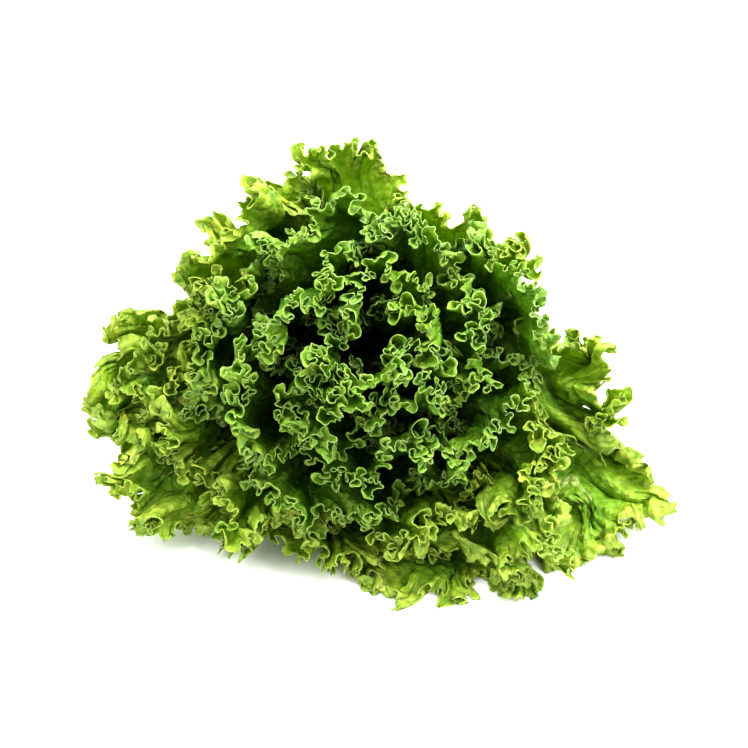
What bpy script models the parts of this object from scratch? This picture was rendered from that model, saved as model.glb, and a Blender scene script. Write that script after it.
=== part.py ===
"""A head of green leaf lettuce as cut, lying on its side with its crown to the front.

Every leaf is a blade of its own that grows from a short pale stem. A leaf is worked out in
three steps: flat, with its waved margin; wrapped round the stem, in a layer of its own; and
laid down with the whole head, which tilts, sags and is pressed by the surface it lies on.
The crown faces -Y and up, and the cut end of the stem is behind. Lengths are in millimetres
until a mesh is made, and angles in degrees until they are used.
"""

import math

import bmesh
import bpy
import numpy as np

MM = 0.001

# The stem: a pale tapered core, cut straight across behind
STEM_LENGTH = 62.0
STEM_CUT_RADIUS = 16.0
STEM_TOP_RADIUS = 6.5
STEM_SIDES = 24
STEM_RINGS = 6
STEM_GAP = 1.9  # from the stem's side to the middle of a leaf's base

# The outer leaves, outermost first: where each points, seen from the crown and clockwise
# from straight up, how far it opens from the head's axis, its length and its width
OUTER_LEAVES = [
    (129, 47.5, 205, 148),
    (-93, 47.5, 190, 142),
    (-120, 42.5, 201, 138),
    (101, 42.0, 188, 94),
    (165, 39.5, 212, 142),
    (-94, 39.6, 184, 118),
    (-17, 37.6, 167, 132),
    (-164, 37.0, 190, 138),
    (-53, 35.7, 186, 120),
    (27, 35.0, 150, 112),
    (142, 34.5, 204, 126),
    (-109, 34.3, 182, 110),
    (-143, 31.9, 184, 114),
    (126, 31.5, 184, 98),
    (-74, 30.6, 178, 106),
    (61, 29.3, 160, 98),
    (176, 29.2, 182, 106),
]

# The heart: leaves that turn by the same angle each time and close towards the axis
HEART_LEAVES = 16
HEART_START = -75
HEART_TURN = 137.508
HEART_OPENINGS = (28.0, 3.0)
HEART_LENGTHS = (176, 168)
HEART_WIDTHS = (132, 84)
HEART_UNEVEN = 6.0  # the most that a heart leaf is longer or shorter than it would be
LEAF_SEED = 7
LOWEST_BASE, HIGHEST_BASE = 0.05, 0.94  # where the leaves leave the stem, of its length
CROWDING = 0.9  # below 1 the leaves stand closer together up the stem

# The blade, lengthwise and across as shares of its own length and half width
BLADE_THICKNESS = 1.0
RIB_THICKNESS = 1.8
RIB_WIDTH = 0.25
RIB_END = 0.88
BASE_WIDTH = 0.17
SHOULDER = 0.85  # lower makes the blade widen sooner
WIDEST_AT = 0.66
TIP_BLUNTNESS = 0.9
VEIN_SWEEP = 2.3  # how strongly the side veins run forward
VEIN_CURVE = 1.1
CALM_BASE, CALM_UNTIL = 0.15, 0.3  # the margin's waves are this low at the base, and grow
LOBES, LOBE_DEPTH = 9, 0.05
RUFFLES = 12  # waves round a leaf's margin
RUFFLE_DRIFT = 0.6
RUFFLE_HEIGHTS = (4.2, 6.0)  # in the heart, and on the outermost leaf
RUFFLE_FROM, RUFFLE_RISE = 0.3, 1.4
SWAYS = 4  # long waves of the whole blade
SWAY_DRIFT = 0.5
SWAY_HEIGHTS = (1.6, 3.0)
ROWS = [(0.0, 12), (0.42, 24), (0.76, 48), (1.0, 48)]  # way from rib to margin, columns
MERGE = 1e-5

# How the layers open: leaves leave the stem wide and turn forward on the way out
BASE_OPENING = 41.0
BASE_TURN = 24.0
OPEN_BY = 190.0
WIDEST_WRAP = 66.0
NEAREST = 20.0

# Slow bends and quick slips of the whole crown. A bend moves every leaf alike one way, in
# waves along the other two; a slip does so across its own direction, near the rims
RIGHT, UP, FORWARD = 0, 1, 2
BENDS = [  # way it moves, how far, wavelengths, phase
    (RIGHT, 5.0, {UP: 151, FORWARD: 195}, 0.4),
    (RIGHT, 3.0, {FORWARD: 94, UP: -119}, 2.0),
    (UP, 5.0, {RIGHT: 163, FORWARD: -182}, 1.7),
    (UP, 3.0, {RIGHT: 88, FORWARD: 107}, 0.6),
    (FORWARD, 8.0, {RIGHT: 207, UP: 170}, 2.2),
    (FORWARD, 5.0, {RIGHT: 107, UP: -94}, 0.0),
]
BENDS_FROM, BENDS_OVER = 20.0, 90.0
SLIPS = [(20, 46, 4.0, 0.3), (105, 42, 4.0, 1.9)]  # direction, wavelength, how far, phase
SLIPS_FROM, SLIPS_OVER = 95.0, 100.0
SLIP_DRIFT, SLIP_DRIFT_WAVE = 0.7, 2.37

# Where the rims draw in, so that the head parts between leaves, and where they stand out
PARTINGS = [  # azimuth, half-width in degrees, where it starts, share of the reach beyond that stays
    (-1, 5, 90, 1.6),
    (15, 7, 80, 0.55),
    (57, 6, 85, 1.8),
    (76, 6.5, 88, 0.4),
    (89, 3.5, 100, 1.35),
    (107.5, 4, 124, 0.2),
    (124, 5, 140, 0.75),
    (141, 5, 130, 1.2),
    (-172, 9, 95, 0.65),
    (-155, 9, 100, 0.8),
    (-134, 6, 125, 0.7),
    (-94, 5, 150, 0.75),
    (-70, 5, 92, 0.45),
    (-25, 4, 100, 1.6),
    (-17, 5, 108, 0.8),
]
SOFT_START = 4.0

# How the head lies
TILT = 36.0
RISE = 13.0
SAG, SAG_AT, SAG_HEIGHT, SAG_LEAST = 8.0, 130.0, 160.0, 0.2
PRESS = 9.0  # how high above the surface its pressure is felt
SPREAD, SPREAD_UNDER = 0.16, 60.0
LIES_UNDER, PLY = -0.7, 2.7  # outer leaves that point down lie on one another, this far apart
LIFTED_BY = 45.0  # how far out from the stem's cut they are all of that apart
STAND = (-1.34, 107.7, 5.2)  # moves the head's middle over the origin, and down on the surface

# Colours and sheen
OUTER_GREEN, HEART_GREEN, LEAF_ROUGHNESS = (0.13, 0.29, 0.03), (0.24, 0.42, 0.06), 0.5
STEM_PALE, STEM_ROUGHNESS = (0.62, 0.66, 0.42), 0.6


def ease(x):
    """0 up to 0, 1 from 1, and a smooth turn between them."""
    x = np.clip(x, 0, 1)
    return x * x * (3 - 2 * x)


def between(share, ends):
    return ends[0] + (ends[1] - ends[0]) * share


def half_outline():
    """Half a leaf's outline from its base to its tip: how far round each point is, then its
    place along and across, as shares of the leaf's length and half width."""
    rising = np.linspace(0, 1, 120)
    round_tip = np.linspace(0, math.pi / 2, 80)[1:]
    along = np.concatenate([WIDEST_AT * rising, WIDEST_AT + (1 - WIDEST_AT) * np.sin(round_tip)])
    widening = BASE_WIDTH + (1 - BASE_WIDTH) * ease(rising) ** SHOULDER
    across = np.concatenate([widening, np.cos(round_tip) ** TIP_BLUNTNESS])
    steps = np.hypot(np.diff(along) * 2.5, np.diff(across))
    way = np.concatenate([[0], np.cumsum(steps)])
    return way / way[-1], along, across


WAY, ALONG, ACROSS = half_outline()


class Leaf:
    """One leaf's place in the head and its own sizes."""

    def __init__(self, number, azimuth, opening, length, width):
        self.name = f"leaf_{number:02d}"
        self.azimuth = math.radians(azimuth)
        self.opening = math.radians(opening)
        self.length = length
        self.width = width
        self.lift = 0.0
        self.outerness = max(0.0, 1 - (number - 1) / len(OUTER_LEAVES))
        share = (number - 1) / (len(OUTER_LEAVES) + HEART_LEAVES - 1)
        self.base = STEM_LENGTH * between(share ** CROWDING, (LOWEST_BASE, HIGHEST_BASE))
        self.ruffle = between(self.outerness, RUFFLE_HEIGHTS)
        self.sway = between(self.outerness, SWAY_HEIGHTS)


def plan_leaves():
    draw = np.random.default_rng(LEAF_SEED)
    leaves = [Leaf(i + 1, *sizes) for i, sizes in enumerate(OUTER_LEAVES)]
    lying = [leaf for leaf in leaves if math.cos(leaf.azimuth) < LIES_UNDER]
    for plies, leaf in enumerate(lying):
        leaf.lift = PLY * plies
    for i in range(HEART_LEAVES):
        share = i / (HEART_LEAVES - 1)
        length = between(share, HEART_LENGTHS) + HEART_UNEVEN * draw.uniform(-1, 1)
        leaves.append(Leaf(
            len(OUTER_LEAVES) + i + 1,
            HEART_START + HEART_TURN * i,
            between(share, HEART_OPENINGS),
            length,
            between(share, HEART_WIDTHS),
        ))
    for leaf in leaves:
        leaf.phases = draw.uniform(0, 2 * math.pi, 4)
    return leaves


def flat_leaf(leaf, side, reach):
    """The flat leaf: side runs from -1 to 1 round the margin, with the tip at 0, and reach
    from the rib, 0, to the margin, 1. Gives the place along and across, and the height."""
    way = 1 - np.abs(side)
    turn = math.pi * side
    calm = CALM_BASE + (1 - CALM_BASE) * ease(way / CALM_UNTIL)
    first, second, third, fourth = leaf.phases
    root = RIB_END * leaf.length * way ** VEIN_SWEEP
    lobe = 1 + LOBE_DEPTH * calm * np.sin(LOBES * turn + fourth + np.sin(2 * turn + first))
    edge_along = root + (leaf.length * np.interp(way, WAY, ALONG) - root) * lobe
    edge_across = leaf.width / 2 * np.interp(way, WAY, ACROSS) * lobe
    along = root + (edge_along - root) * reach ** VEIN_CURVE
    across = np.where(side < 0, -1.0, 1.0) * edge_across * reach
    beat = RUFFLES * turn + RUFFLE_DRIFT * np.sin(3 * turn + first) + second
    rise = np.clip((reach - RUFFLE_FROM) / (1 - RUFFLE_FROM), 0, 1) ** RUFFLE_RISE
    long_beat = SWAYS * turn + SWAY_DRIFT * np.sin(2 * turn + fourth) + third
    height = leaf.ruffle * np.sin(beat) * rise + leaf.sway * np.sin(long_beat) * reach
    return along, across, height * calm


def stem_radius(height):
    return between(height / STEM_LENGTH, (STEM_CUT_RADIUS, STEM_TOP_RADIUS))


def wrapped(leaf, along, across, height):
    """The leaf in its layer round the stem, measured from the middle of the stem's cut."""
    far = np.maximum(along, NEAREST)
    opening = leaf.opening + height * np.clip(far / leaf.length, 0.15, 1.2) / far
    base = math.radians(BASE_OPENING) * np.tanh(opening / math.radians(BASE_TURN))
    angle = base + (opening - base) * (along / OPEN_BY) ** 2
    radius = stem_radius(leaf.base) + STEM_GAP + along * np.sin(angle)
    wrap = math.radians(WIDEST_WRAP)
    azimuth = leaf.azimuth + wrap * np.tanh(across / radius / wrap)
    forward = leaf.base + along * np.cos(angle)
    return np.stack([radius * np.sin(azimuth), radius * np.cos(azimuth), forward])


def slipped(place):
    rim = ease((np.sqrt((place ** 2).sum(axis=0)) - SLIPS_FROM) / SLIPS_OVER)
    right, up, forward = place
    for direction, wave, amount, phase in SLIPS:
        cos, sin = math.cos(math.radians(direction)), math.sin(math.radians(direction))
        along, across = right * cos + up * sin, up * cos - right * sin
        beat = 2 * math.pi * across / wave + phase
        along += amount * rim * np.sin(beat + SLIP_DRIFT * np.sin(beat / SLIP_DRIFT_WAVE + phase))
        right, up = along * cos - across * sin, along * sin + across * cos
    return np.stack([right, up, forward])


def bent(place):
    loose = ease((place[FORWARD] - BENDS_FROM) / BENDS_OVER)
    moved = place.copy()
    for way, amount, waves, phase in BENDS:
        beat = phase + sum(2 * math.pi * place[axis] / wave for axis, wave in waves.items())
        moved[way] += amount * loose * np.sin(beat)
    return moved


def parted(place):
    right, up, forward = place
    out = np.hypot(right, up)
    way = np.degrees(np.arctan2(right, up))
    beyond = np.zeros_like(out)
    for azimuth, half_width, start, kept in PARTINGS:
        here = np.exp(-(((way - azimuth + 180) % 360 - 180) / half_width) ** 2)
        beyond += (kept - 1) * here * SOFT_START * np.logaddexp(0, (out - start) / SOFT_START)
    scale = np.maximum(out + beyond, 0) / np.maximum(out, MERGE)
    return np.stack([right * scale, up * scale, forward])


def laid_down(place, lift=0.0):
    """The head as it lies, in metres: tilted, sagging at its sides and pressed from below.
    Each step keeps the layers in their order."""
    right, up, forward = parted(bent(slipped(place)))
    lean = math.radians(TILT)
    depth = up * math.sin(lean) - forward * math.cos(lean)
    level = up * math.cos(lean) + forward * math.sin(lean) + RISE
    level = level - SAG * (right / SAG_AT) ** 2 * ease(level / SAG_HEIGHT + SAG_LEAST)
    level = PRESS * np.logaddexp(0, level / PRESS)
    right = right * (1 + SPREAD * np.exp(-level / SPREAD_UNDER)) + STAND[0]
    level = np.maximum(level - STAND[2], BLADE_THICKNESS / 2)
    level = level + lift * np.exp(-level / PRESS) * ease(place[FORWARD] / LIFTED_BY)
    return np.stack([right, depth + STAND[1], level], axis=-1) * MM


def material(name, colour, roughness):
    made = bpy.data.materials.new(name)
    made.use_nodes = True
    surface = made.node_tree.nodes["Principled BSDF"]
    surface.inputs["Base Color"].default_value = (*colour, 1)
    surface.inputs["Roughness"].default_value = roughness
    surface.inputs["Metallic"].default_value = 0
    return made


def joined_rows(sheet, inner, outer):
    """Fills between two rows of points, the outer with as many columns or twice as many. The
    diagonals lean towards the tip on both halves of the leaf."""
    for i in range(len(inner) - 1):
        a, b = inner[i], inner[i + 1]
        if len(outer) == len(inner):
            c, d = outer[i], outer[i + 1]
            left = i < (len(inner) - 1) / 2
            corners = [(a, d, c), (a, b, d)] if left else [(a, b, c), (b, d, c)]
        else:
            c, d, e = outer[2 * i], outer[2 * i + 1], outer[2 * i + 2]
            corners = [(a, d, c), (a, b, d), (b, e, d)]
        for corner in corners:
            sheet.faces.new(corner)


def leaf_object(leaf, finish):
    """One leaf: a sheet of rows from its rib to its margin, thicker along the rib."""
    sheet = bmesh.new()
    weights = sheet.verts.layers.deform.verify()
    rows = []
    for reach, columns in ROWS:
        side = np.linspace(-1, 1, columns + 1)
        points = laid_down(wrapped(leaf, *flat_leaf(leaf, side, reach)), leaf.lift)
        rows.append([sheet.verts.new(point) for point in points])
        for vert, s in zip(rows[-1], side):
            vert[weights][0] = max(0.0, 1 - reach / RIB_WIDTH) * math.sqrt(abs(s))
    for inner, outer in zip(rows, rows[1:]):
        joined_rows(sheet, inner, outer)
    bmesh.ops.remove_doubles(sheet, verts=sheet.verts, dist=MERGE)
    mesh = bpy.data.meshes.new(leaf.name)
    sheet.to_mesh(mesh)
    sheet.free()
    mesh.materials.append(finish)
    mesh.shade_smooth()
    obj = bpy.data.objects.new(leaf.name, mesh)
    bpy.context.collection.objects.link(obj)
    rib = obj.vertex_groups.new(name="rib")
    wall = obj.modifiers.new("wall", "SOLIDIFY")
    wall.thickness = RIB_THICKNESS * MM
    wall.offset = 0
    wall.vertex_group = rib.name
    wall.thickness_vertex_group = BLADE_THICKNESS / RIB_THICKNESS
    return obj


def stem_object(finish):
    """The stem: a cone in rings, laid down as the leaves are."""
    core = bmesh.new()
    bmesh.ops.create_cone(
        core, cap_ends=True, segments=STEM_SIDES,
        radius1=STEM_CUT_RADIUS, radius2=STEM_TOP_RADIUS, depth=STEM_LENGTH,
    )
    slopes = [edge for edge in core.edges if edge.verts[0].co.z * edge.verts[1].co.z < 0]
    bmesh.ops.subdivide_edges(core, edges=slopes, cuts=STEM_RINGS - 1, use_grid_fill=True)
    bmesh.ops.triangulate(core, faces=core.faces)
    for vert in core.verts:
        place = np.array([[vert.co.x], [vert.co.y], [vert.co.z + STEM_LENGTH / 2]])
        vert.co = laid_down(place)[0]
    bmesh.ops.recalc_face_normals(core, faces=core.faces)
    mesh = bpy.data.meshes.new("stem")
    core.to_mesh(mesh)
    core.free()
    mesh.materials.append(finish)
    obj = bpy.data.objects.new("stem", mesh)
    bpy.context.collection.objects.link(obj)
    return obj


for old in list(bpy.data.objects):
    bpy.data.objects.remove(old, do_unlink=True)

outer_green = material("outer leaf", OUTER_GREEN, LEAF_ROUGHNESS)
heart_green = material("heart leaf", HEART_GREEN, LEAF_ROUGHNESS)
pale_stem = material("stem", STEM_PALE, STEM_ROUGHNESS)

stem_object(pale_stem)
for each in plan_leaves():
    leaf_object(each, outer_green if each.outerness else heart_green)
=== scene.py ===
"""Looks of the green leaf lettuce: its stem, its leaves, and the plain studio round it."""
import math

import bpy
import numpy as np
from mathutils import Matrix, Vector


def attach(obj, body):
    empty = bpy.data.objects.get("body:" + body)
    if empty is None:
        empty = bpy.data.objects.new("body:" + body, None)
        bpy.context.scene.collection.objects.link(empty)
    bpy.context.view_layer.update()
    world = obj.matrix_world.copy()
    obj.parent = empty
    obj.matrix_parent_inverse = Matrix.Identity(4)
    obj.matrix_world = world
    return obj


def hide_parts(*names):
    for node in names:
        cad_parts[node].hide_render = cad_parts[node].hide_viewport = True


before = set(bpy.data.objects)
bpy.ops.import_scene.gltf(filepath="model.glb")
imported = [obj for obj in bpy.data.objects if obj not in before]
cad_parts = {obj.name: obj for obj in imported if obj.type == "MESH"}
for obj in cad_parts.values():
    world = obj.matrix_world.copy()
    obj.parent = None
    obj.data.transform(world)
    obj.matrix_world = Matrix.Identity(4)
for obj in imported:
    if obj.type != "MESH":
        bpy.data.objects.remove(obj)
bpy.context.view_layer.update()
MM = 0.001


# The stem is the pale core that every leaf grows from, cut straight across behind. It is
# turned from a cylinder, then laid down with the whole head: tilted, bent as the crown
# bends, and pressed by the surface it lies on. The leaves below are laid down the same way.
STEM_LENGTH = 62.0
STEM_CUT_RADIUS = 16.0
STEM_TOP_RADIUS = 6.5
STEM_SWELL, SWELL_FROM = 1.3, 0.15  # how far it rises between the leaves' bases, and from where
STEM_RIBS, RIB_TWIST, RIB_HEIGHT = 9, 14, 0.4
CUT_DISH, CUT_END = 1.2, 0.01
PALE_STEM, BROWNED_STEM = (0.74, 0.76, 0.50), (0.50, 0.42, 0.17)
SPOT_SCALE, SPOT_SPREAD, SPOT_RELIEF = 160, (0.36, 0.56), (0.0004, 0.4)  # relief: metres, strength
STEM_ROUGHNESS = 0.45
TILT = 36.0
RISE = 13.0  # the head's middle above the surface
SAG, SAG_AT, SAG_HEIGHT, SAG_LEAST = 8.0, 130.0, 160.0, 0.2
PRESS = 9.0  # how high above the surface its pressure is felt
SPREAD, SPREAD_UNDER = 0.16, 60.0
LIFTED_BY = 45.0
STAND = (-1.34, 107.7, 5.2)  # moves the head's middle over the origin, and down on the surface
BLADE_LOWEST, SETTLE = 0.45, 0.8  # how low a blade's middle lies, and how softly it comes to rest
RIGHT, UP, FORWARD = 0, 1, 2
BENDS = [  # way it moves, how far, wavelengths, phase
    (RIGHT, 5.0, {UP: 151, FORWARD: 195}, 0.4),
    (RIGHT, 3.0, {FORWARD: 94, UP: -119}, 2.0),
    (UP, 5.0, {RIGHT: 163, FORWARD: -182}, 1.7),
    (UP, 3.0, {RIGHT: 88, FORWARD: 107}, 0.6),
    (FORWARD, 8.0, {RIGHT: 207, UP: 170}, 2.2),
    (FORWARD, 5.0, {RIGHT: 107, UP: -94}, 0.0),
]
BENDS_FROM, BENDS_OVER = 20.0, 90.0
SLIPS = [  # direction, wavelength, how far, phase
    (20, 46, 4.0, 0.3),
    (105, 42, 4.0, 1.9),
]
SLIPS_FROM, SLIPS_OVER = 95.0, 100.0
SLIP_DRIFT, SLIP_DRIFT_WAVE = 0.7, 2.37


def ease(x):
    x = np.clip(x, 0, 1)
    return x * x * (3 - 2 * x)


def between(share, ends):
    return ends[0] + (ends[1] - ends[0]) * share


def slipped(place):
    rim = ease((np.sqrt((place ** 2).sum(axis=0)) - SLIPS_FROM) / SLIPS_OVER)
    right, up, forward = place
    for direction, wave, amount, phase in SLIPS:
        cos, sin = math.cos(math.radians(direction)), math.sin(math.radians(direction))
        along, across = right * cos + up * sin, up * cos - right * sin
        beat = 2 * math.pi * across / wave + phase
        along = along + amount * rim * np.sin(beat + SLIP_DRIFT * np.sin(beat / SLIP_DRIFT_WAVE + phase))
        right, up = along * cos - across * sin, along * sin + across * cos
    return np.stack([right, up, forward])


def bent(place):
    loose = ease((place[FORWARD] - BENDS_FROM) / BENDS_OVER)
    moved = place.copy()
    for way, amount, waves, phase in BENDS:
        beat = phase + sum(2 * math.pi * place[axis] / wave for axis, wave in waves.items())
        moved[way] += amount * loose * np.sin(beat)
    return moved


def tilted(place):
    right, up, forward = place
    lean = math.radians(TILT)
    depth = up * math.sin(lean) - forward * math.cos(lean)
    return right, depth, up * math.cos(lean) + forward * math.sin(lean)


def laid_down(place, lift=0.0, frill=None):
    """Head coordinates in millimetres, right, up and forward of the stem's cut, to the frame's.

    The frill, how far the margin stands off the leaf, is tilted with it but not pressed flat.
    """
    forward = place[FORWARD]
    right, depth, level = tilted(place)
    level = level + RISE
    level = level - SAG * (right / SAG_AT) ** 2 * ease(level / SAG_HEIGHT + SAG_LEAST)
    level = PRESS * np.logaddexp(0, level / PRESS)
    right = right * (1 + SPREAD * np.exp(-level / SPREAD_UNDER)) + STAND[0]
    level = np.maximum(level - STAND[2], BLADE_LOWEST)
    level = level + lift * np.exp(-level / PRESS) * ease(forward / LIFTED_BY)
    if frill is not None:
        moved = tilted(frill)
        right, depth, level = right + moved[0], depth + moved[1], level + moved[2]
    level = BLADE_LOWEST + SETTLE * np.logaddexp(0, (level - BLADE_LOWEST) / SETTLE)
    return np.stack([right, depth + STAND[1], level], axis=-1) * MM


def points_of(mesh):
    points = np.empty(len(mesh.vertices) * 3, np.float32)
    mesh.vertices.foreach_get("co", points)
    return points.reshape(-1, 3).astype(float)


def set_points(mesh, points):
    mesh.vertices.foreach_set("co", points.astype(np.float32).ravel())
    mesh.update()


def finished(name, colour, roughness):
    """A material whose Principled shader holds what is the same all over."""
    made = bpy.data.materials.new(name)
    made.use_nodes = True
    surface = made.node_tree.nodes["Principled BSDF"]
    surface.inputs["Base Color"].default_value = (*colour, 1)
    surface.inputs["Roughness"].default_value = roughness
    return made, made.node_tree, surface


bpy.ops.object.select_all(action="DESELECT")
bpy.ops.mesh.primitive_cylinder_add(vertices=96, radius=1, depth=1, end_fill_type="TRIFAN")
stem = bpy.context.object
stem.name = "stem_core"
bpy.ops.object.mode_set(mode="EDIT")
bpy.ops.mesh.select_all(action="SELECT")
bpy.ops.mesh.subdivide(number_cuts=5, quadcorner="INNERVERT")
bpy.ops.object.mode_set(mode="OBJECT")
shape = points_of(stem.data)
turn = np.arctan2(shape[:, 1], shape[:, 0])
out = np.hypot(shape[:, 0], shape[:, 1])
share = shape[:, 2] + 0.5
ribs = 1 - RIB_HEIGHT + RIB_HEIGHT * np.sin(STEM_RIBS * turn + RIB_TWIST * share)
radius = between(share, (STEM_CUT_RADIUS, STEM_TOP_RADIUS)) + STEM_SWELL * ease(share / SWELL_FROM) * ribs
dish = CUT_DISH * (1 - out ** 2) * (share < CUT_END)
place = np.stack([out * radius * np.cos(turn), out * radius * np.sin(turn), share * STEM_LENGTH + dish])
set_points(stem.data, laid_down(bent(slipped(place))))
bpy.ops.object.mode_set(mode="EDIT")
bpy.ops.mesh.select_all(action="SELECT")
bpy.ops.mesh.normals_make_consistent(inside=False)
bpy.ops.object.mode_set(mode="OBJECT")
bpy.ops.object.shade_smooth_by_angle(angle=math.radians(50))

stem_skin, tree, surface = finished("stem_skin", PALE_STEM, STEM_ROUGHNESS)
where = tree.nodes.new("ShaderNodeTexCoord")
spots = tree.nodes.new("ShaderNodeTexNoise")
spots.inputs["Scale"].default_value = SPOT_SCALE
spots.inputs["Detail"].default_value = 6
tint = tree.nodes.new("ShaderNodeValToRGB")
for stop, position, colour in zip(tint.color_ramp.elements, SPOT_SPREAD, (BROWNED_STEM, PALE_STEM)):
    stop.position = position
    stop.color = (*colour, 1)
grain = tree.nodes.new("ShaderNodeBump")
grain.inputs["Distance"].default_value = SPOT_RELIEF[0]
grain.inputs["Strength"].default_value = SPOT_RELIEF[1]
tree.links.new(where.outputs["Object"], spots.inputs["Vector"])
tree.links.new(spots.outputs["Fac"], tint.inputs["Fac"])
tree.links.new(tint.outputs["Color"], surface.inputs["Base Color"])
tree.links.new(spots.outputs["Fac"], grain.inputs["Height"])
tree.links.new(grain.outputs["Normal"], surface.inputs["Normal"])
stem.data.materials.append(stem_skin)
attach(stem, "root")
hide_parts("stem")


# The outer leaves open wide round the crown. Each is one thin blade with a pale rib and side veins,
# whose margin is much longer than the blade behind it and so folds, curls and crimps. Every blade
# starts from the same unrolled sheet and is bent into its own layer round the stem.
OUTER_LEAVES = [  # azimuth, opening, length, width, outermost first
    (129, 47.5, 205, 148),
    (-93, 47.5, 190, 142),
    (-120, 42.5, 201, 138),
    (101, 42.0, 188, 94),
    (165, 39.5, 212, 142),
    (-94, 39.6, 184, 118),
    (-17, 37.6, 167, 132),
    (-164, 37.0, 190, 138),
    (-53, 35.7, 186, 120),
    (27, 35.0, 150, 112),
    (142, 34.5, 204, 126),
    (-109, 34.3, 182, 110),
    (-143, 31.9, 184, 114),
    (126, 31.5, 184, 98),
    (-74, 30.6, 178, 106),
    (61, 29.3, 160, 98),
    (176, 29.2, 182, 106),
]
HEART_LEAVES = 16
LEAF_SEED = 7
FRILL_SEED = 11
LOWEST_BASE, HIGHEST_BASE, CROWDING = 0.05, 0.94, 0.9
STEM_GAP = 1.9
BLADE_THICKNESS = 0.5
RIB_THICKNESS = 3.4
RIB_HALF_WIDTH = (4.2, 1.2)  # at the base and at the tip
RIB_END, RIB_THINNING = 0.88, 0.7
BASE_WIDTH, SHOULDER, WIDEST_AT, TIP_BLUNTNESS, SLIMNESS = 0.17, 0.85, 0.66, 0.9, 2.5
VEIN_SWEEP, VEIN_CURVE = 2.3, 1.1
CALM_BASE, CALM_UNTIL = 0.15, 0.3
FRILL_CALM, FRILL_CALM_UNTIL = 0.3, 0.16
LOBES, LOBE_DEPTH = 9, 0.05
RUFFLES, RUFFLE_DRIFT, RUFFLE_HEIGHTS = 12, 0.6, (4.2, 6.0)
RUFFLE_FROM, RUFFLE_RISE, RUFFLE_SPREADS = 0.3, 1.4, (0.15, 1.2)
SWAYS, SWAY_DRIFT, SWAY_HEIGHTS = 4, 0.5, (1.6, 3.0)
FOLD_WAVES, FOLD_HEIGHTS, FOLD_LEANS = (21.0, 30.0), (4.4, 5.6), (2.8, 3.4)  # in the heart, outside
FOLD_DEPTHS, FOLD_RISE = (36.0, 50.0), 1.5
CURL_WAVES, CURL_HEIGHTS, CURL_LEANS = (9.6, 11.6), (3.5, 3.1), (1.5, 1.4)
CURL_DEPTHS, CURL_RISE = (19.0, 27.0), 1.7
PLEAT_WAVE, PLEAT_HEIGHT, PLEAT_DEPTH, PLEAT_RISE = 8.5, 0.75, 38.0, 1.0
CRIMP_WAVE, CRIMP_HEIGHT, CRIMP_DEPTH, CRIMP_RISE = 4.8, 0.8, 9.0, 1.3
LOBELET_WAVE, LOBELET_CUTS, LOBELET_DEPTH = 18.0, (2.6, 4.6), 18.0
TOOTH_WAVES, TOOTH_CUTS, TOOTH_DEPTH = (4.2, 5.6), (1.1, 2.0), 3.2
SLOW_DRIFT, QUICK_DRIFT, QUICK_SHARE = 3.3, 1.9, 0.6  # how much longer than a wave its unevenness is
FOLD_DRIFT, CURL_DRIFT, NOTCH_DRIFT, SMALL_DRIFT, TOOTH_DRIFT = 0.7, 0.9, 0.9, 0.8, 1.1  # radians
SWELL, CURL_SWELL, CRIMP_SWELL, TOOTH_SWELL_WAVE = 0.2, 2.3, 4.7, 31.0
NOTCH_WIDTH, LEAN_RISE = 0.8, 1.5
PUCKERS, PUCKER_SLANTS = [(21.0, 1.8), (10.5, 0.8)], (0.6, 0.4)  # wavelength, height
PUCKERS_RISE, PUCKERS_FADE_FROM, PUCKERS_FADE = 0.3, 0.7, 0.6
BASE_OPENING, BASE_TURN, OPEN_BY, WIDEST_WRAP, NEAREST = 41.0, 24.0, 190.0, 66.0, 20.0
LIES_UNDER, PLY = -0.7, 2.7
ROWS = [0, 0.04, 0.12, 0.24, 0.36, 0.47, 0.57, 0.66, 0.745, 0.82, 0.88, 0.93, 0.97, 1]
FEWEST_COLUMNS, TIP_CROWDING = 64, 0.11
DOUBLED_FROM = [3, 5, 8, 11, 13]  # rows where the columns double

GREENS = ("Rib", "Painted_shade", "Blade", "Lime", "Margin")
GREEN_STEPS = [  # which green comes next, and where, from the rib, 0, to the margin, 1
    # painted shade: the blade from near the rib outwards is darkened for the shade low in the head
    ("Painted_shade", 0.05, 0.12),
    ("Blade", 0.45, 0.72),
    ("Lime", 0.72, 0.92),
    # partly painted highlight: the pale margin band is the leaf's paler margin and also its edge catching
    # the light
    ("Margin", 0.985, 0.997),
]
MARGIN_WANDER = 0.018  # breaks up the pale line along the margin
MOTTLE_SCALE, MOTTLE_SPREAD, MOTTLE_TINT = 42, (0.35, 0.68), (1.28, 1.14, 0.95, 1)
SIDE_VEINS, VEIN_EDGES, VEIN_PALENESS = 26, (0.09, 0.02), 0.55
NET_SCALE, NET_EDGES, NET_STRENGTH = 210, (0.12, 0.0), 0.45
STREAKS, STREAK_LENGTH, STREAK_SPREAD = 230, 18, (0.36, 0.66)
STREAK_TINT = (0.66, 0.79, 0.68, 1)
# painted shade: the quilt's cell edges are darkened for the shade in the valleys between the blisters
QUILT_SCALE, QUILT_SHADE_EDGES, QUILT_VALLEY_SHADE = 190, (0.38, 0.86), (0.60, 0.74, 0.62, 1)
STREAK_RELIEF, QUILT_RELIEF, VEIN_RELIEF = (0.0016, 0.6), (0.0026, 0.8), (0.0008, 0.6)  # metres, strength
LEAF_ROUGHNESS, TRANSLUCENCE = 0.42, 0.34

CURLINGS = [  # cell size, how far its middle turns, direction, phases
    (20.0, 0.9, 24, 0.7, 2.1),
    (11.0, 0.35, 71, 3.9, 0.4),
]
CURL_STEPS = 6
CELL_DRIFT, CELL_DRIFT_UP, CELL_DRIFT_RIGHT = 0.8, 37.0, 41.0
CURLED_FROM, CURLED_OVER = 100.0, 75.0
HUMPS = [(3.0, 5.1, 7.3, 0.0), (3.0, -8.1, 4.7, 1.0)]  # height, how long across and up, phase

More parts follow.
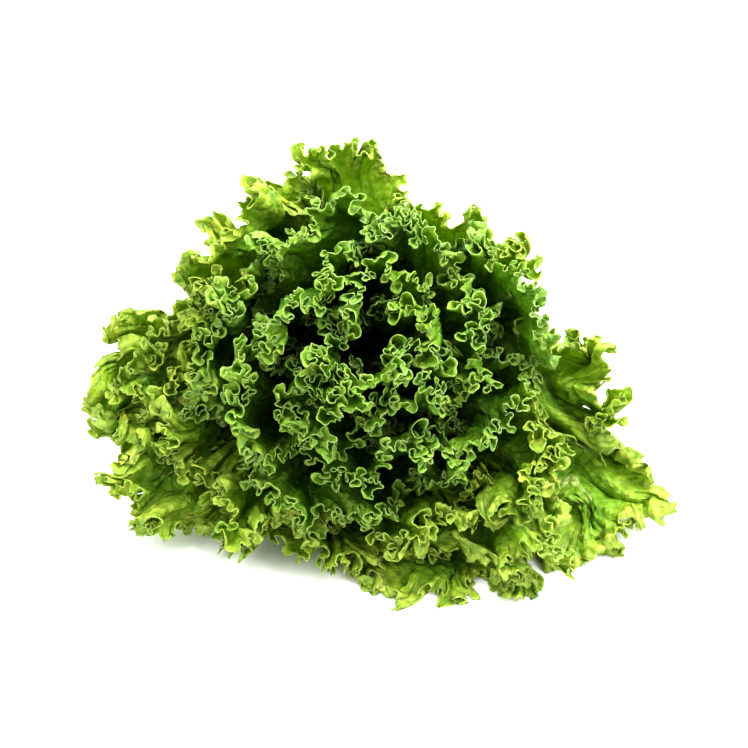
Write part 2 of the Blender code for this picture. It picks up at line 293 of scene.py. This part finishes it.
PARTINGS = [  # azimuth and half-width in degrees, where it starts, share of the reach beyond kept
    (-1, 5, 90, 1.6),
    (15, 7, 80, 0.55),
    (57, 6, 85, 1.8),
    (76, 6.5, 88, 0.4),
    (89, 3.5, 100, 1.35),
    (107.5, 4, 124, 0.2),
    (124, 5, 140, 0.75),
    (141, 5, 130, 1.2),
    (-172, 9, 95, 0.65),
    (-155, 9, 100, 0.8),
    (-134, 6, 125, 0.7),
    (-94, 5, 150, 0.75),
    (-70, 5, 92, 0.45),
    (-25, 4, 100, 1.6),
    (-17, 5, 108, 0.8),
]
SOFT_START = 4.0


class Leaf:
    def __init__(self, number, azimuth, opening, length, width):
        self.number = number
        self.azimuth = math.radians(azimuth)
        self.opening = math.radians(opening)
        self.length = length
        self.width = width
        self.lift = 0.0
        self.outerness = max(0.0, 1 - (number - 1) / len(OUTER_LEAVES))
        share = (number - 1) / (len(OUTER_LEAVES) + HEART_LEAVES - 1)
        self.base = STEM_LENGTH * between(share ** CROWDING, (LOWEST_BASE, HIGHEST_BASE))
        self.ruffle = between(self.outerness, RUFFLE_HEIGHTS)
        self.sway = between(self.outerness, SWAY_HEIGHTS)
        self.curl_wave = between(self.outerness, CURL_WAVES)
        self.curl = between(self.outerness, CURL_HEIGHTS)
        self.curl_lean = between(self.outerness, CURL_LEANS)
        self.curl_depth = between(self.outerness, CURL_DEPTHS)
        self.fold_wave = between(self.outerness, FOLD_WAVES)
        self.fold = between(self.outerness, FOLD_HEIGHTS)
        self.fold_lean = between(self.outerness, FOLD_LEANS)
        self.fold_depth = between(self.outerness, FOLD_DEPTHS)
        self.lobelet = between(self.outerness, LOBELET_CUTS)
        self.tooth_wave = between(self.outerness, TOOTH_WAVES)
        self.tooth = between(self.outerness, TOOTH_CUTS)


def half_outline():
    """Half a leaf's outline from base to tip: the way round, then along and across."""
    rising = np.linspace(0, 1, 120)
    round_tip = np.linspace(0, math.pi / 2, 80)[1:]
    along = np.concatenate([WIDEST_AT * rising, WIDEST_AT + (1 - WIDEST_AT) * np.sin(round_tip)])
    widening = BASE_WIDTH + (1 - BASE_WIDTH) * ease(rising) ** SHOULDER
    across = np.concatenate([widening, np.cos(round_tip) ** TIP_BLUNTNESS])
    steps = np.hypot(np.diff(along) * SLIMNESS, np.diff(across))
    way = np.concatenate([[0], np.cumsum(steps)])
    return way / way[-1], along, across


WAY, ALONG, ACROSS = half_outline()


def flat_leaf(leaf, side, reach):
    """The leaf before it is wrapped: place along and across, and height off its layer."""
    way = 1 - np.abs(side)
    turn = math.pi * side
    calm = CALM_BASE + (1 - CALM_BASE) * ease(way / CALM_UNTIL)
    first, second, third, fourth = leaf.phases
    root = RIB_END * leaf.length * way ** VEIN_SWEEP
    lobe = 1 + LOBE_DEPTH * calm * np.sin(LOBES * turn + fourth + np.sin(2 * turn + first))
    edge_along = root + (leaf.length * np.interp(way, WAY, ALONG) - root) * lobe
    edge_across = leaf.width / 2 * np.interp(way, WAY, ACROSS) * lobe
    along = root + (edge_along - root) * reach ** VEIN_CURVE
    across = np.where(side < 0, -1.0, 1.0) * edge_across * reach
    beat = RUFFLES * turn + RUFFLE_DRIFT * np.sin(3 * turn + first) + second
    rise = np.clip((reach - RUFFLE_FROM) / (1 - RUFFLE_FROM), 0, 1) ** RUFFLE_RISE
    long_beat = SWAYS * turn + SWAY_DRIFT * np.sin(2 * turn + fourth) + third
    height = leaf.ruffle * np.sin(beat) * rise + leaf.sway * np.sin(long_beat) * reach
    return along, across, height * calm


def wrapped(leaf, along, across, height):
    """The leaf in its layer round the stem, measured from the middle of the stem's cut."""
    far = np.maximum(along, NEAREST)
    opening = leaf.opening + height * np.clip(far / leaf.length, *RUFFLE_SPREADS) / far
    base = math.radians(BASE_OPENING) * np.tanh(opening / math.radians(BASE_TURN))
    angle = base + (opening - base) * (along / OPEN_BY) ** 2
    radius = between(leaf.base / STEM_LENGTH, (STEM_CUT_RADIUS, STEM_TOP_RADIUS)) + STEM_GAP
    radius = radius + along * np.sin(angle)
    wrap = math.radians(WIDEST_WRAP)
    azimuth = leaf.azimuth + wrap * np.tanh(across / radius / wrap)
    forward = leaf.base + along * np.cos(angle)
    return np.stack([radius * np.sin(azimuth), radius * np.cos(azimuth), forward])


def curled(place):
    """Turns the rims round the middles of cells, one way and the other in turn."""
    right, up, forward = place
    for cell, turn, direction, first, second in CURLINGS:
        cos, sin = math.cos(math.radians(direction)), math.sin(math.radians(direction))
        wave = math.pi / cell
        for step in range(CURL_STEPS):
            rim = ease((np.sqrt(right ** 2 + up ** 2 + forward ** 2) - CURLED_FROM) / CURLED_OVER)
            drift_a = CELL_DRIFT * np.sin(up / CELL_DRIFT_UP + second)
            drift_b = CELL_DRIFT * np.sin(right / CELL_DRIFT_RIGHT + first)
            a = wave * (right * cos + up * sin) + first + drift_a
            b = wave * (up * cos - right * sin) + second + drift_b
            amount = rim * turn / wave / CURL_STEPS
            on, over = amount * np.sin(a) * np.cos(b), -amount * np.cos(a) * np.sin(b)
            right, up = right + on * cos - over * sin, up + on * sin + over * cos
    rim = ease((np.sqrt((place ** 2).sum(axis=0)) - CURLED_FROM) / CURLED_OVER)
    for height, wave_right, wave_up, phase in HUMPS:
        forward = forward + rim * height * np.sin(right / wave_right + up / wave_up + phase)
    return np.stack([right, up, forward])


def parted(place):
    """Draws the rims in where the head parts between leaves, and lets them out where it bulges."""
    right, up, forward = place
    out = np.hypot(right, up)
    way = np.degrees(np.arctan2(right, up))
    beyond = np.zeros_like(out)
    for azimuth, half_width, start, kept in PARTINGS:
        here = np.exp(-(((way - azimuth + 180) % 360 - 180) / half_width) ** 2)
        beyond = beyond + (kept - 1) * here * SOFT_START * np.logaddexp(0, (out - start) / SOFT_START)
    scale = np.maximum(out + beyond, 0) / np.maximum(out, 1e-6)
    return np.stack([right * scale, up * scale, forward])


def surface_of(leaf, side, reach):
    """The leaf's own form in the head, before its frills."""
    return parted(bent(slipped(curled(wrapped(leaf, *flat_leaf(leaf, side, reach))))))


def length_of(line):
    return np.sqrt((line ** 2).sum(axis=0)) + 1e-9


def turned_by(on, up, step):
    """How far a line leans once it is moved on and up, and each step's length then."""
    ahead, rising = step + np.gradient(on), np.gradient(up)
    return np.arctan2(rising, ahead), np.hypot(ahead, rising)


def frills_of(leaf, side):
    """The margin's folds, curls and crimp, each on top of the one before, its notches and teeth."""
    every = np.linspace(-1, 1, 8001)
    calm = FRILL_CALM + (1 - FRILL_CALM) * ease((1 - np.abs(every)) / FRILL_CALM_UNTIL)
    drift = leaf.frill_phases

    def beats(length, wave, spread, i):
        slow = spread * np.sin(2 * math.pi * length / (wave * SLOW_DRIFT) + drift[i])
        quick = QUICK_SHARE * spread * np.sin(2 * math.pi * length / (wave * QUICK_DRIFT) + drift[i + 1])
        return 2 * math.pi * length / wave + slow + quick + drift[i + 2]

    def swell(length, wave, i):
        return 1 - SWELL + SWELL * np.sin(2 * math.pi * length / wave + drift[i])

    step = length_of(np.gradient(surface_of(leaf, every, 1.0), axis=1))
    beat = beats(np.cumsum(step), leaf.fold_wave, FOLD_DRIFT, 2)
    fold_on, fold_up = -leaf.fold_lean * calm * np.sin(2 * beat), leaf.fold * calm * np.sin(beat)
    fold_turn, step = turned_by(fold_on, fold_up, step)
    length = np.cumsum(step)
    beat = beats(length, leaf.curl_wave, CURL_DRIFT, 0)
    size = calm * swell(length, leaf.curl_wave * CURL_SWELL, 3)
    curl_on, curl_up = -leaf.curl_lean * size * np.sin(2 * beat), leaf.curl * size * np.sin(beat)
    notch = np.abs(np.sin(beats(length, 2 * LOBELET_WAVE, NOTCH_DRIFT, 8)))
    notch = calm * (1 - notch ** NOTCH_WIDTH)
    curl_turn, step = turned_by(curl_on, curl_up, step)
    length = np.cumsum(step)
    crimp_up = CRIMP_HEIGHT * calm * swell(length, CRIMP_WAVE * CRIMP_SWELL, 4)
    crimp_up = crimp_up * np.sin(beats(length, CRIMP_WAVE, SMALL_DRIFT, 5))
    pleat_up = PLEAT_HEIGHT * calm * np.sin(beats(length, PLEAT_WAVE, SMALL_DRIFT, 6))
    tooth = calm * np.abs(np.sin(beats(length, 2 * leaf.tooth_wave, TOOTH_DRIFT, 9)))
    tooth = tooth * swell(length, TOOTH_SWELL_WAVE, 11)
    lines = (fold_on, fold_up, fold_turn, curl_on, curl_up, curl_turn, crimp_up, pleat_up, notch, tooth)
    return [np.interp(side, every, line) for line in lines]


STEP_ROUND, STEP_OUT = 0.002, 0.01  # to the neighbours that give the surface's directions


def frilled(leaf, side, reach):
    """The leaf in the head, and its frills raised square to its own surface."""
    place = surface_of(leaf, side, reach)
    span = length_of(surface_of(leaf, side, 1.0) - surface_of(leaf, side, 0.0))
    inside = (1 - reach) * span
    near, far = np.clip(side - STEP_ROUND, -1, 1), np.clip(side + STEP_ROUND, -1, 1)
    ahead = surface_of(leaf, far, reach) - surface_of(leaf, near, reach)
    ahead = ahead / length_of(ahead)
    low, high = np.clip(reach - STEP_OUT, 0, 1), np.clip(reach + STEP_OUT, 0, 1)
    outward = surface_of(leaf, side, high) - surface_of(leaf, side, low)
    outward = outward / length_of(outward)
    upward = np.cross(ahead, outward, axis=0)
    upward = upward / length_of(upward)

    def rising(depth, power):
        return np.clip(1 - inside / depth, 0, 1) ** power

    (fold_on, fold_up, fold_turn, curl_on, curl_up, curl_turn,
     crimp_up, pleat_up, notch, tooth) = frills_of(leaf, side)
    folded = rising(leaf.fold_depth, FOLD_RISE)
    curled_up = rising(leaf.curl_depth, CURL_RISE)
    crimped = rising(CRIMP_DEPTH, CRIMP_RISE)
    on, up, lean = fold_on * folded ** LEAN_RISE, fold_up * folded, fold_turn * folded
    curl_on, curl_up = curl_on * curled_up ** LEAN_RISE, curl_up * curled_up
    on = on + curl_on * np.cos(lean) - curl_up * np.sin(lean)
    up = up + curl_on * np.sin(lean) + curl_up * np.cos(lean)
    lean = lean + curl_turn * curled_up
    small = crimp_up * crimped + pleat_up * rising(PLEAT_DEPTH, PLEAT_RISE)
    on = on - small * np.sin(lean)
    up = up + small * np.cos(lean)
    cut = leaf.lobelet * notch * rising(LOBELET_DEPTH, 1) + leaf.tooth * tooth * rising(TOOTH_DEPTH, 1)
    fading = PUCKERS_FADE * ease((reach - PUCKERS_FADE_FROM) / PUCKERS_RISE)
    soft = ease(reach / PUCKERS_RISE) * (1 - fading)
    slanted = place[RIGHT] + place[UP] * PUCKER_SLANTS[0] + place[FORWARD] * PUCKER_SLANTS[1]
    first, second = leaf.phases[:2]
    for wave, rise in PUCKERS:
        beat = 2 * math.pi / wave
        up = up + rise * soft * np.sin(beat * inside + first) * np.sin(beat * slanted + second)
    return place, ahead * on + upward * up - outward * cut


def unrolled_sheet():
    """The flat blank of every leaf: round the margin along X, from rib to margin along Y."""
    bpy.ops.object.select_all(action="DESELECT")
    bpy.ops.mesh.primitive_grid_add(x_subdivisions=FEWEST_COLUMNS, y_subdivisions=len(ROWS) - 1, size=2)
    sheet = bpy.context.object
    for row in DOUBLED_FROM:
        lowest = -1 + 2 * (row - 0.5) / (len(ROWS) - 1)
        bpy.ops.object.mode_set(mode="EDIT")
        bpy.ops.mesh.select_mode(type="EDGE")
        bpy.ops.mesh.select_all(action="DESELECT")
        bpy.ops.object.mode_set(mode="OBJECT")
        mesh = sheet.data
        points = points_of(mesh)
        ends = np.empty(len(mesh.edges) * 2, np.int32)
        mesh.edges.foreach_get("vertices", ends)
        a, b = points[ends.reshape(-1, 2)].transpose(1, 0, 2)
        level = (np.abs(a[:, 1] - b[:, 1]) < 1e-4) & (a[:, 1] > lowest)
        mesh.edges.foreach_set("select", level)
        bpy.ops.object.mode_set(mode="EDIT")
        bpy.ops.mesh.subdivide(number_cuts=1, quadcorner="STRAIGHT_CUT")
        bpy.ops.object.mode_set(mode="OBJECT")
    bpy.ops.object.mode_set(mode="EDIT")
    bpy.ops.mesh.select_mode(type="VERT")
    bpy.ops.mesh.select_all(action="SELECT")
    bpy.ops.mesh.quads_convert_to_tris(quad_method="SHORTEST_DIAGONAL")
    bpy.ops.object.mode_set(mode="OBJECT")
    return sheet


def leaf_piece(leaf, blank, skin):
    """One leaf, grown from the blank, with its walls, and put in place of its solid."""
    piece = blank.copy()
    piece.data = blank.data.copy()
    piece.name = f"blade_{leaf.number:02d}"
    bpy.context.collection.objects.link(piece)
    bpy.ops.object.select_all(action="DESELECT")
    piece.select_set(True)
    bpy.context.view_layer.objects.active = piece
    mesh = piece.data
    flat = points_of(mesh)
    side = flat[:, 0] - TIP_CROWDING * np.sin(math.pi * flat[:, 0])
    reach = np.interp((flat[:, 1] + 1) / 2, np.linspace(0, 1, len(ROWS)), ROWS)
    layer = mesh.uv_layers[0]
    loops = np.empty(len(mesh.loops), np.int32)
    mesh.loops.foreach_get("vertex_index", loops)
    layer.data.foreach_set("uv", np.stack([side[loops] / 2 + 0.5, reach[loops]], axis=-1).ravel())
    along, across, _ = flat_leaf(leaf, side, reach)
    place, frill = frilled(leaf, side, reach)
    set_points(mesh, laid_down(place, leaf.lift, frill))
    half_rib = between(np.clip(along / leaf.length, 0, 1), RIB_HALF_WIDTH)
    thinning = (1 - np.clip(along / leaf.length / RIB_END, 0, 1)) ** RIB_THINNING
    thick = np.clip(1 - (across / half_rib) ** 2, 0, 1) * thinning
    rib = piece.vertex_groups.new(name="rib")
    for i in np.flatnonzero(thick > 0):
        rib.add([int(i)], float(thick[i]), "REPLACE")
    bpy.ops.object.mode_set(mode="EDIT")
    bpy.ops.mesh.select_all(action="SELECT")
    bpy.ops.mesh.remove_doubles(threshold=1e-6)
    bpy.ops.object.mode_set(mode="OBJECT")
    wall = piece.modifiers.new("wall", "SOLIDIFY")
    wall.thickness = RIB_THICKNESS * MM
    wall.offset = 0
    wall.vertex_group = rib.name
    wall.thickness_vertex_group = BLADE_THICKNESS / RIB_THICKNESS
    bpy.ops.object.modifier_apply(modifier=wall.name)
    points = points_of(mesh)
    points[:, 2] = np.maximum(points[:, 2], 0.0)
    set_points(mesh, points)
    bpy.ops.object.shade_smooth()
    mesh.materials.append(skin)
    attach(piece, "root")
    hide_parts(f"leaf_{leaf.number:02d}")
    return piece


def added(tree, kind, inputs, **settings):
    """A node with its settings. Each input is a value, or the output that feeds it."""
    node = tree.nodes.new(kind)
    for name, value in settings.items():
        setattr(node, name, value)
    for name, value in inputs.items():
        if isinstance(value, bpy.types.NodeSocket):
            tree.links.new(value, node.inputs[name])
        else:
            node.inputs[name].default_value = value
    return node


def share_between(tree, value, low, high, most=1.0):
    """0 where the value is at low, most where it is at high, and no further."""
    inputs = {"Value": value, "From Min": low, "From Max": high, "To Max": most}
    return added(tree, "ShaderNodeMapRange", inputs).outputs["Result"]


def mixed(tree, share, under, over, blend="MIX"):
    inputs = {"Factor": share, "A": under, "B": over}
    return added(tree, "ShaderNodeMix", inputs, data_type="RGBA", blend_type=blend).outputs["Result"]


def worked_out(tree, operation, *values):
    inputs = dict(enumerate(values))
    return added(tree, "ShaderNodeMath", inputs, operation=operation).outputs["Value"]


def raised(tree, height, depth, strength, under=None, sunk=False):
    inputs = {"Height": height, "Distance": depth, "Strength": strength}
    if under is not None:
        inputs["Normal"] = under
    return added(tree, "ShaderNodeBump", inputs, invert=sunk).outputs["Normal"]


def leaf_surface():
    """The surface of every leaf: its greens from rib to margin, with painted shade near the rib and a
    pale margin partly painted highlight, mottled, veined, streaked along the veins and quilted between
    them with painted shade darkening the quilt's cell edges, and the relief of the streaks, quilt and
    veins."""
    tree = bpy.data.node_groups.new("leaf_surface", "ShaderNodeTree")
    for green in GREENS:
        tree.interface.new_socket(green, in_out="INPUT", socket_type="NodeSocketColor")
    tree.interface.new_socket("Colour", in_out="OUTPUT", socket_type="NodeSocketColor")
    tree.interface.new_socket("Normal", in_out="OUTPUT", socket_type="NodeSocketVector")
    green = tree.nodes.new("NodeGroupInput").outputs
    unrolled = added(tree, "ShaderNodeUVMap", {}).outputs["UV"]
    round_margin, from_rib, _ = added(tree, "ShaderNodeSeparateXYZ", {"Vector": unrolled}).outputs
    place = added(tree, "ShaderNodeTexCoord", {}).outputs["Object"]

    inputs = {"Vector": place, "Scale": MOTTLE_SCALE, "Detail": 5, "Roughness": 0.65}
    patches = added(tree, "ShaderNodeTexNoise", inputs).outputs["Fac"]
    across = worked_out(tree, "MULTIPLY_ADD", patches, -MARGIN_WANDER, from_rib)
    colour = green["Rib"]
    for name, low, high in GREEN_STEPS:
        colour = mixed(tree, share_between(tree, across, low, high), colour, green[name])
    colour = mixed(tree, share_between(tree, patches, *MOTTLE_SPREAD), colour, MOTTLE_TINT, "MULTIPLY")

    veins = worked_out(tree, "PINGPONG", worked_out(tree, "MULTIPLY", round_margin, SIDE_VEINS), 0.5)
    inputs = {"Vector": place, "Scale": NET_SCALE}
    net = added(tree, "ShaderNodeTexVoronoi", inputs, feature="DISTANCE_TO_EDGE").outputs["Distance"]
    veins = share_between(tree, veins, *VEIN_EDGES)
    veins = worked_out(tree, "MAXIMUM", veins, share_between(tree, net, *NET_EDGES, NET_STRENGTH))
    colour = mixed(tree, worked_out(tree, "MULTIPLY", veins, VEIN_PALENESS), colour, green["Lime"])

    inputs = {"Vector": unrolled, "Scale": (STREAKS, STREAKS / STREAK_LENGTH, 1)}
    inputs = {"Vector": added(tree, "ShaderNodeMapping", inputs).outputs["Vector"]}
    inputs.update({"Scale": 1, "Detail": 4, "Roughness": 0.6})
    streaks = added(tree, "ShaderNodeTexNoise", inputs).outputs["Fac"]
    colour = mixed(tree, share_between(tree, streaks, *STREAK_SPREAD), colour, STREAK_TINT, "MULTIPLY")
    inputs = {"Vector": place, "Scale": QUILT_SCALE}
    quilt = added(tree, "ShaderNodeTexVoronoi", inputs, feature="F1").outputs["Distance"]
    # painted shade: darkens the quilt's cell edges, the valleys between the blisters
    colour = mixed(tree, share_between(tree, quilt, *QUILT_SHADE_EDGES), colour, QUILT_VALLEY_SHADE, "MULTIPLY")

    relief = raised(tree, streaks, *STREAK_RELIEF, sunk=True)
    relief = raised(tree, quilt, *QUILT_RELIEF, under=relief, sunk=True)
    relief = raised(tree, veins, *VEIN_RELIEF, under=relief)
    result = tree.nodes.new("NodeGroupOutput")
    tree.links.new(colour, result.inputs["Colour"])
    tree.links.new(relief, result.inputs["Normal"])
    return tree


def leaf_skin(name, greens, through):
    """Satin leaf in the greens given, with their painted shade and highlight, which lets some light
    through.
    """
    skin, tree, surface = finished(name, greens["Blade"], LEAF_ROUGHNESS)
    pattern = added(tree, "ShaderNodeGroup", {}, node_tree=leaf_pattern)
    for place, green in greens.items():
        pattern.inputs[place].default_value = (*green, 1)
    tree.links.new(pattern.outputs["Colour"], surface.inputs["Base Color"])
    tree.links.new(pattern.outputs["Normal"], surface.inputs["Normal"])
    shine = added(tree, "ShaderNodeBsdfTranslucent", {"Color": (*through, 1)})
    inputs = {0: TRANSLUCENCE, 1: surface.outputs["BSDF"], 2: shine.outputs["BSDF"]}
    both = added(tree, "ShaderNodeMixShader", inputs)
    tree.links.new(both.outputs["Shader"], tree.nodes["Material Output"].inputs["Surface"])
    return skin


leaf_draw = np.random.default_rng(LEAF_SEED)
outer_leaves = [Leaf(i + 1, *sizes) for i, sizes in enumerate(OUTER_LEAVES)]
for plies, leaf in enumerate(leaf for leaf in outer_leaves if math.cos(leaf.azimuth) < LIES_UNDER):
    leaf.lift = PLY * plies
leaf_pattern = leaf_surface()
outer_greens = {
    "Rib": (0.55, 0.62, 0.28),
    "Painted_shade": (0.21, 0.38, 0.035),
    "Blade": (0.36, 0.51, 0.06),
    "Lime": (0.45, 0.54, 0.10),
    "Margin": (0.50, 0.55, 0.26),
}
outer_skin = leaf_skin("outer_leaf_skin", outer_greens, through=(0.48, 0.66, 0.06))


# The heart leaves are of the same tissue, narrower, with their greens darkened as painted shade deep in
# the head, and paler at the margin. They turn by the same angle each time and close towards the middle,
# so that little more than their frills shows. Once their lengths are drawn, the folds of every leaf are,
# and then all of them are grown.
HEART_START, HEART_TURN = -75, 137.508
HEART_OPENINGS, HEART_LENGTHS, HEART_WIDTHS = (28.0, 3.0), (176, 168), (132, 84)
HEART_UNEVEN = 6.0

heart_leaves = []
for i in range(HEART_LEAVES):
    share = i / (HEART_LEAVES - 1)
    length = between(share, HEART_LENGTHS) + HEART_UNEVEN * leaf_draw.uniform(-1, 1)
    heart_leaves.append(Leaf(
        len(OUTER_LEAVES) + i + 1,
        HEART_START + HEART_TURN * i,
        between(share, HEART_OPENINGS),
        length,
        between(share, HEART_WIDTHS),
    ))
# painted shade: the heart leaves' greens are darker than the outer leaves' for the shade deep inside the
# head
shaded_heart_greens = {
    "Rib": (0.42, 0.50, 0.2),
    "Painted_shade": (0.09, 0.21, 0.02),
    "Blade": (0.23, 0.39, 0.045),
    "Lime": (0.31, 0.45, 0.075),
    "Margin": (0.50, 0.56, 0.36),
}
shaded_heart_skin = leaf_skin("shaded_heart_leaf_skin", shaded_heart_greens, through=(0.38, 0.58, 0.06))

for leaf in outer_leaves + heart_leaves:
    leaf.phases = leaf_draw.uniform(0, 2 * math.pi, 4)
frill_draw = np.random.default_rng(FRILL_SEED)
for leaf in outer_leaves + heart_leaves:
    leaf.frill_phases = frill_draw.uniform(0, 2 * math.pi, 12)
blank = unrolled_sheet()
for leaf in outer_leaves:
    leaf_piece(leaf, blank, outer_skin)
for leaf in heart_leaves:
    leaf_piece(leaf, blank, shaded_heart_skin)
bpy.data.objects.remove(blank)


# The studio: a white sheet, soft light from above, and the camera looking down on the crown.
UNDER_HEAD = 0.0002
PAPER, PAPER_ROUGHNESS, SKY_STRENGTH = (0.93, 0.93, 0.93), 0.8, 1.1
bpy.ops.object.select_all(action="DESELECT")
bpy.ops.mesh.primitive_plane_add(size=12)
floor = bpy.context.object
floor.name = "floor"
for corner in floor.data.vertices:
    corner.co.z = -UNDER_HEAD
paper, _, _ = finished("paper", PAPER, PAPER_ROUGHNESS)
floor.data.materials.append(paper)

world = bpy.data.worlds.new("studio")
bpy.context.scene.world = world
world.use_nodes = True
world.node_tree.nodes["Background"].inputs["Color"].default_value = (1, 1, 1, 1)
world.node_tree.nodes["Background"].inputs["Strength"].default_value = SKY_STRENGTH

LIGHT_SIZE = 0.5
LIGHTS = [  # place, watts
    ((0.20, 0.0, 0.95), 11),
    ((0.7, -0.4, 0.7), 5),
    ((-0.6, -0.4, 0.6), 2.5),
    ((0.1, 0.6, 0.7), 6),
]
LIT = Vector((0, -0.02, 0.08))
for place, watts in LIGHTS:
    bpy.ops.object.light_add(type="AREA", location=place)
    lamp = bpy.context.object
    lamp.data.energy, lamp.data.size = watts, LIGHT_SIZE
    lamp.rotation_euler = (LIT - Vector(place)).to_track_quat("-Z", "Y").to_euler()

AIM, ELEVATION, DISTANCE, LENS = Vector((-0.0012, -0.0193, 0.090)), 36, 0.95, 80
bpy.ops.object.camera_add()
camera = bpy.context.object
camera.data.lens = LENS
lean = math.radians(ELEVATION)
camera.location = AIM + DISTANCE * Vector((0, -math.cos(lean), math.sin(lean)))
camera.rotation_euler = (AIM - camera.location).to_track_quat("-Z", "Y").to_euler()
bpy.context.scene.camera = camera
bpy.context.scene.view_settings.view_transform = "Standard"
bpy.context.scene.view_settings.look = "High Contrast"
